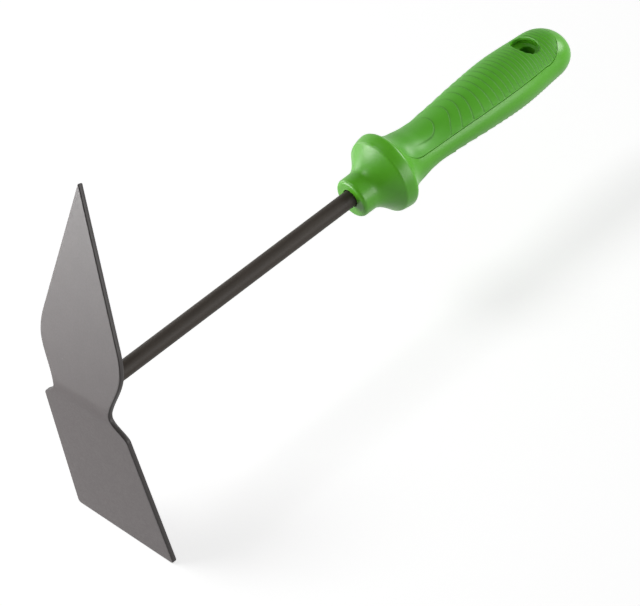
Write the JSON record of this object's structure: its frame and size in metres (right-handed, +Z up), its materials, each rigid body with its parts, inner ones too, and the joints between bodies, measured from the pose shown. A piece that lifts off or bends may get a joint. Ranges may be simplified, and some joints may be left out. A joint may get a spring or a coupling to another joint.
{
  "type": "hoe cultivator",
  "caption": "Short hand hoe cultivator: a bent steel plate with a pointed and a square blade, on a round shank with a moulded plastic grip and a hanging hole.",
  "frame": {"origin": "bottom centre of the bounding box: level with the cutting edge of the square blade, below the middle of the tool's length", "axes": "+Y runs along the shank from the blades to the butt of the handle, +Z up towards the pointed blade's tip, +X across the blades"},
  "size_m": [0.068, 0.2997, 0.1788],
  "materials": {
    "blade_coating": "fine-textured dark grey powder coat, satin",
    "shank_coating": "black, satin",
    "weld_coating": "black over a rippled weld",
    "handle_plastic": "moulded green plastic, satin",
    "insert_plastic": "green plastic with moulded ribs, satin"
  },
  "bodies": {
    "root": {"blade": "blade_coating", "shank": "shank_coating", "weld_bead": "weld_coating", "handle": "handle_plastic", "grip_insert_upper": "insert_plastic", "grip_insert_lower": "insert_plastic"}
  },
  "joints": []
}
